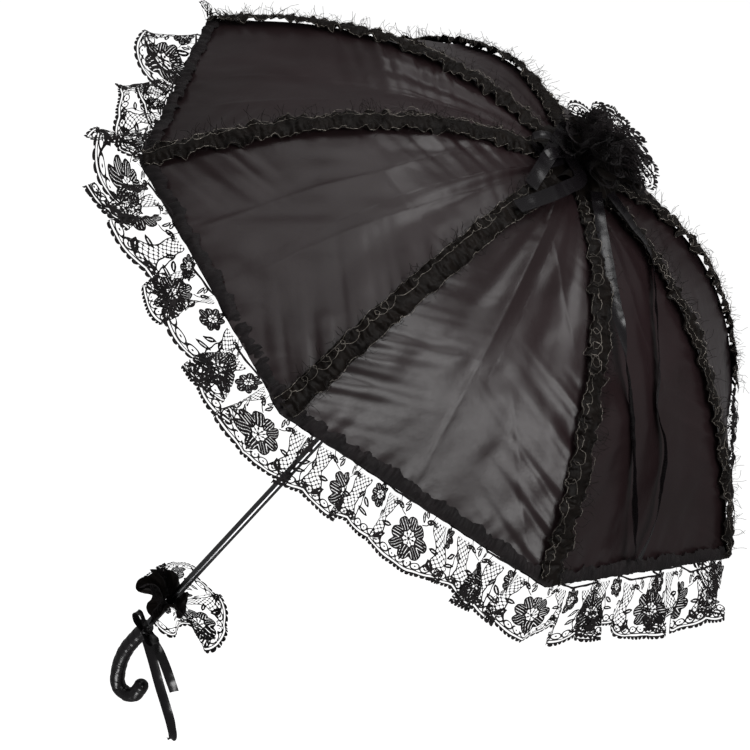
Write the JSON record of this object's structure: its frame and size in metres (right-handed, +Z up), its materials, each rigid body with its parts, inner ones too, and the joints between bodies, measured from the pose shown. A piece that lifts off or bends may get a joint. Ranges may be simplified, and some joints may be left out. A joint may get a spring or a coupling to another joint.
{
  "type": "lace parasol",
  "caption": "Open folding parasol with satin gores, gathered lace rim frill, ruched ribs, lace rosette, ribbon bows and a ribbon-wrapped hook handle.",
  "frame": {"origin": "on the shaft's axis at the top of the handle, where the hand holds it", "axes": "+Z up the shaft to the ferrule; +X the way the hook bends, and under the first rib"},
  "size_m": [0.6882, 0.6882, 0.8163],
  "materials": {
    "steel": "polished plated steel",
    "black_metal": "black lacquered wire",
    "black_plastic": "moulded, matt",
    "satin": "black satin with a soft sheen",
    "lace": "black floral lace",
    "organza": "frayed black organza with metallic thread",
    "ribbon": "glossy black satin ribbon",
    "grip_wrap": "satin ribbon wound over the handle"
  },
  "bodies": {
    "shaft_and_handle": {"shaft": "steel", "notch": "black_plastic", "notch_wire": "steel", "stop_pin": "steel", "ferrule": "black_plastic", "canopy_cap": "satin", "handle": "grip_wrap", "rosette": "lace", "cuff": "lace", "top_bow": "ribbon", "handle_bow": "ribbon", "tail_0": "ribbon", "tail_1": "ribbon"},
    "runner": {"runner": "black_plastic"},
    "top_catch": {"top_catch": "steel"},
    "bottom_catch": {"bottom_catch": "steel"},
    "rib_0": {"rib_0": "black_metal", "gore_0": "satin", "ruche_0": "organza", "frill_0": "lace", "streamer_1": "ribbon"},
    "stretcher_0": {"stretcher_0": "black_metal"},
    "rib_1": {"rib_1": "black_metal", "gore_1": "satin", "ruche_1": "organza", "frill_1": "lace"},
    "stretcher_1": {"stretcher_1": "black_metal"},
    "rib_2": {"rib_2": "black_metal", "gore_2": "satin", "ruche_2": "organza", "frill_2": "lace"},
    "stretcher_2": {"stretcher_2": "black_metal"},
    "rib_3": {"rib_3": "black_metal", "gore_3": "satin", "ruche_3": "organza", "frill_3": "lace"},
    "stretcher_3": {"stretcher_3": "black_metal"},
    "rib_4": {"rib_4": "black_metal", "gore_4": "satin", "ruche_4": "organza", "frill_4": "lace"},
    "stretcher_4": {"stretcher_4": "black_metal"},
    "rib_5": {"rib_5": "black_metal", "gore_5": "satin", "ruche_5": "organza", "frill_5": "lace"},
    "stretcher_5": {"stretcher_5": "black_metal"},
    "rib_6": {"rib_6": "black_metal", "gore_6": "satin", "ruche_6": "organza", "frill_6": "lace"},
    "stretcher_6": {"stretcher_6": "black_metal"},
    "rib_7": {"rib_7": "black_metal", "gore_7": "satin", "ruche_7": "organza", "frill_7": "lace", "streamer_0": "ribbon"},
    "stretcher_7": {"stretcher_7": "black_metal"}
  },
  "joints": [
    {"name": "runner_slide", "type": "slide", "parent": "shaft_and_handle", "child": "runner", "axis": [0, 0, -1], "range_m": [0, 0.1903]},
    {"name": "top_catch_press", "type": "slide", "parent": "shaft_and_handle", "child": "top_catch", "axis": [-0.9239, -0.3827, 0], "range_m": [0, 0.0021], "stiffness_N_per_m": 800},
    {"name": "bottom_catch_press", "type": "slide", "parent": "shaft_and_handle", "child": "bottom_catch", "axis": [-0.9239, -0.3827, 0], "range_m": [0, 0.0021], "stiffness_N_per_m": 800},
    {"name": "rib_0_hinge", "type": "hinge", "parent": "shaft_and_handle", "child": "rib_0", "pos_m": [0.01, 0, 0.66], "axis": [0, 1, 0], "range_deg": [0, 62.02], "deforming": ["gore_0", "ruche_0", "frill_0", "streamer_1"]},
    {"name": "stretcher_0_hinge", "type": "hinge", "parent": "rib_0", "child": "stretcher_0", "pos_m": [0.15386, 0, 0.63125], "axis": [0, -1, 0], "range_deg": [0, 107.78]},
    {"name": "rib_1_hinge", "type": "hinge", "parent": "shaft_and_handle", "child": "rib_1", "pos_m": [0.00707, 0.00707, 0.66], "axis": [-0.7071, 0.7071, 0], "range_deg": [0, 62.02], "deforming": ["gore_1", "ruche_1", "frill_1"]},
    {"name": "stretcher_1_hinge", "type": "hinge", "parent": "rib_1", "child": "stretcher_1", "pos_m": [0.1088, 0.1088, 0.63125], "axis": [0.7071, -0.7071, 0], "range_deg": [0, 107.78]},
    {"name": "rib_2_hinge", "type": "hinge", "parent": "shaft_and_handle", "child": "rib_2", "pos_m": [0, 0.01, 0.66], "axis": [-1, 0, 0], "range_deg": [0, 62.02], "deforming": ["gore_2", "ruche_2", "frill_2"]},
    {"name": "stretcher_2_hinge", "type": "hinge", "parent": "rib_2", "child": "stretcher_2", "pos_m": [0, 0.15386, 0.63125], "axis": [1, 0, 0], "range_deg": [0, 107.78]},
    {"name": "rib_3_hinge", "type": "hinge", "parent": "shaft_and_handle", "child": "rib_3", "pos_m": [-0.00707, 0.00707, 0.66], "axis": [-0.7071, -0.7071, 0], "range_deg": [0, 62.02], "deforming": ["gore_3", "ruche_3", "frill_3"]},
    {"name": "stretcher_3_hinge", "type": "hinge", "parent": "rib_3", "child": "stretcher_3", "pos_m": [-0.1088, 0.1088, 0.63125], "axis": [0.7071, 0.7071, 0], "range_deg": [0, 107.78]},
    {"name": "rib_4_hinge", "type": "hinge", "parent": "shaft_and_handle", "child": "rib_4", "pos_m": [-0.01, 0, 0.66], "axis": [0, -1, 0], "range_deg": [0, 62.02], "deforming": ["gore_4", "ruche_4", "frill_4"]},
    {"name": "stretcher_4_hinge", "type": "hinge", "parent": "rib_4", "child": "stretcher_4", "pos_m": [-0.15386, 0, 0.63125], "axis": [0, 1, 0], "range_deg": [0, 107.78]},
    {"name": "rib_5_hinge", "type": "hinge", "parent": "shaft_and_handle", "child": "rib_5", "pos_m": [-0.00707, -0.00707, 0.66], "axis": [0.7071, -0.7071, 0], "range_deg": [0, 62.02], "deforming": ["gore_5", "ruche_5", "frill_5"]},
    {"name": "stretcher_5_hinge", "type": "hinge", "parent": "rib_5", "child": "stretcher_5", "pos_m": [-0.1088, -0.1088, 0.63125], "axis": [-0.7071, 0.7071, 0], "range_deg": [0, 107.78]},
    {"name": "rib_6_hinge", "type": "hinge", "parent": "shaft_and_handle", "child": "rib_6", "pos_m": [0, -0.01, 0.66], "axis": [1, 0, 0], "range_deg": [0, 62.02], "deforming": ["gore_6", "ruche_6", "frill_6"]},
    {"name": "stretcher_6_hinge", "type": "hinge", "parent": "rib_6", "child": "stretcher_6", "pos_m": [0, -0.15386, 0.63125], "axis": [-1, 0, 0], "range_deg": [0, 107.78]},
    {"name": "rib_7_hinge", "type": "hinge", "parent": "shaft_and_handle", "child": "rib_7", "pos_m": [0.00707, -0.00707, 0.66], "axis": [0.7071, 0.7071, 0], "range_deg": [0, 62.02], "deforming": ["gore_7", "ruche_7", "frill_7", "streamer_0"]},
    {"name": "stretcher_7_hinge", "type": "hinge", "parent": "rib_7", "child": "stretcher_7", "pos_m": [0.1088, -0.1088, 0.63125], "axis": [-0.7071, -0.7071, 0], "range_deg": [0, 107.78]}
  ],
  "couplings": [
    {"joint": "rib_0_hinge", "follows": "runner_slide", "rad_per_m": 5.686},
    {"joint": "stretcher_0_hinge", "follows": "runner_slide", "rad_per_m": 9.883},
    {"joint": "rib_1_hinge", "follows": "runner_slide", "rad_per_m": 5.686},
    {"joint": "stretcher_1_hinge", "follows": "runner_slide", "rad_per_m": 9.883},
    {"joint": "rib_2_hinge", "follows": "runner_slide", "rad_per_m": 5.686},
    {"joint": "stretcher_2_hinge", "follows": "runner_slide", "rad_per_m": 9.883},
    {"joint": "rib_3_hinge", "follows": "runner_slide", "rad_per_m": 5.686},
    {"joint": "stretcher_3_hinge", "follows": "runner_slide", "rad_per_m": 9.883},
    {"joint": "rib_4_hinge", "follows": "runner_slide", "rad_per_m": 5.686},
    {"joint": "stretcher_4_hinge", "follows": "runner_slide", "rad_per_m": 9.883},
    {"joint": "rib_5_hinge", "follows": "runner_slide", "rad_per_m": 5.686},
    {"joint": "stretcher_5_hinge", "follows": "runner_slide", "rad_per_m": 9.883},
    {"joint": "rib_6_hinge", "follows": "runner_slide", "rad_per_m": 5.686},
    {"joint": "stretcher_6_hinge", "follows": "runner_slide", "rad_per_m": 9.883},
    {"joint": "rib_7_hinge", "follows": "runner_slide", "rad_per_m": 5.686},
    {"joint": "stretcher_7_hinge", "follows": "runner_slide", "rad_per_m": 9.883}
  ]
}
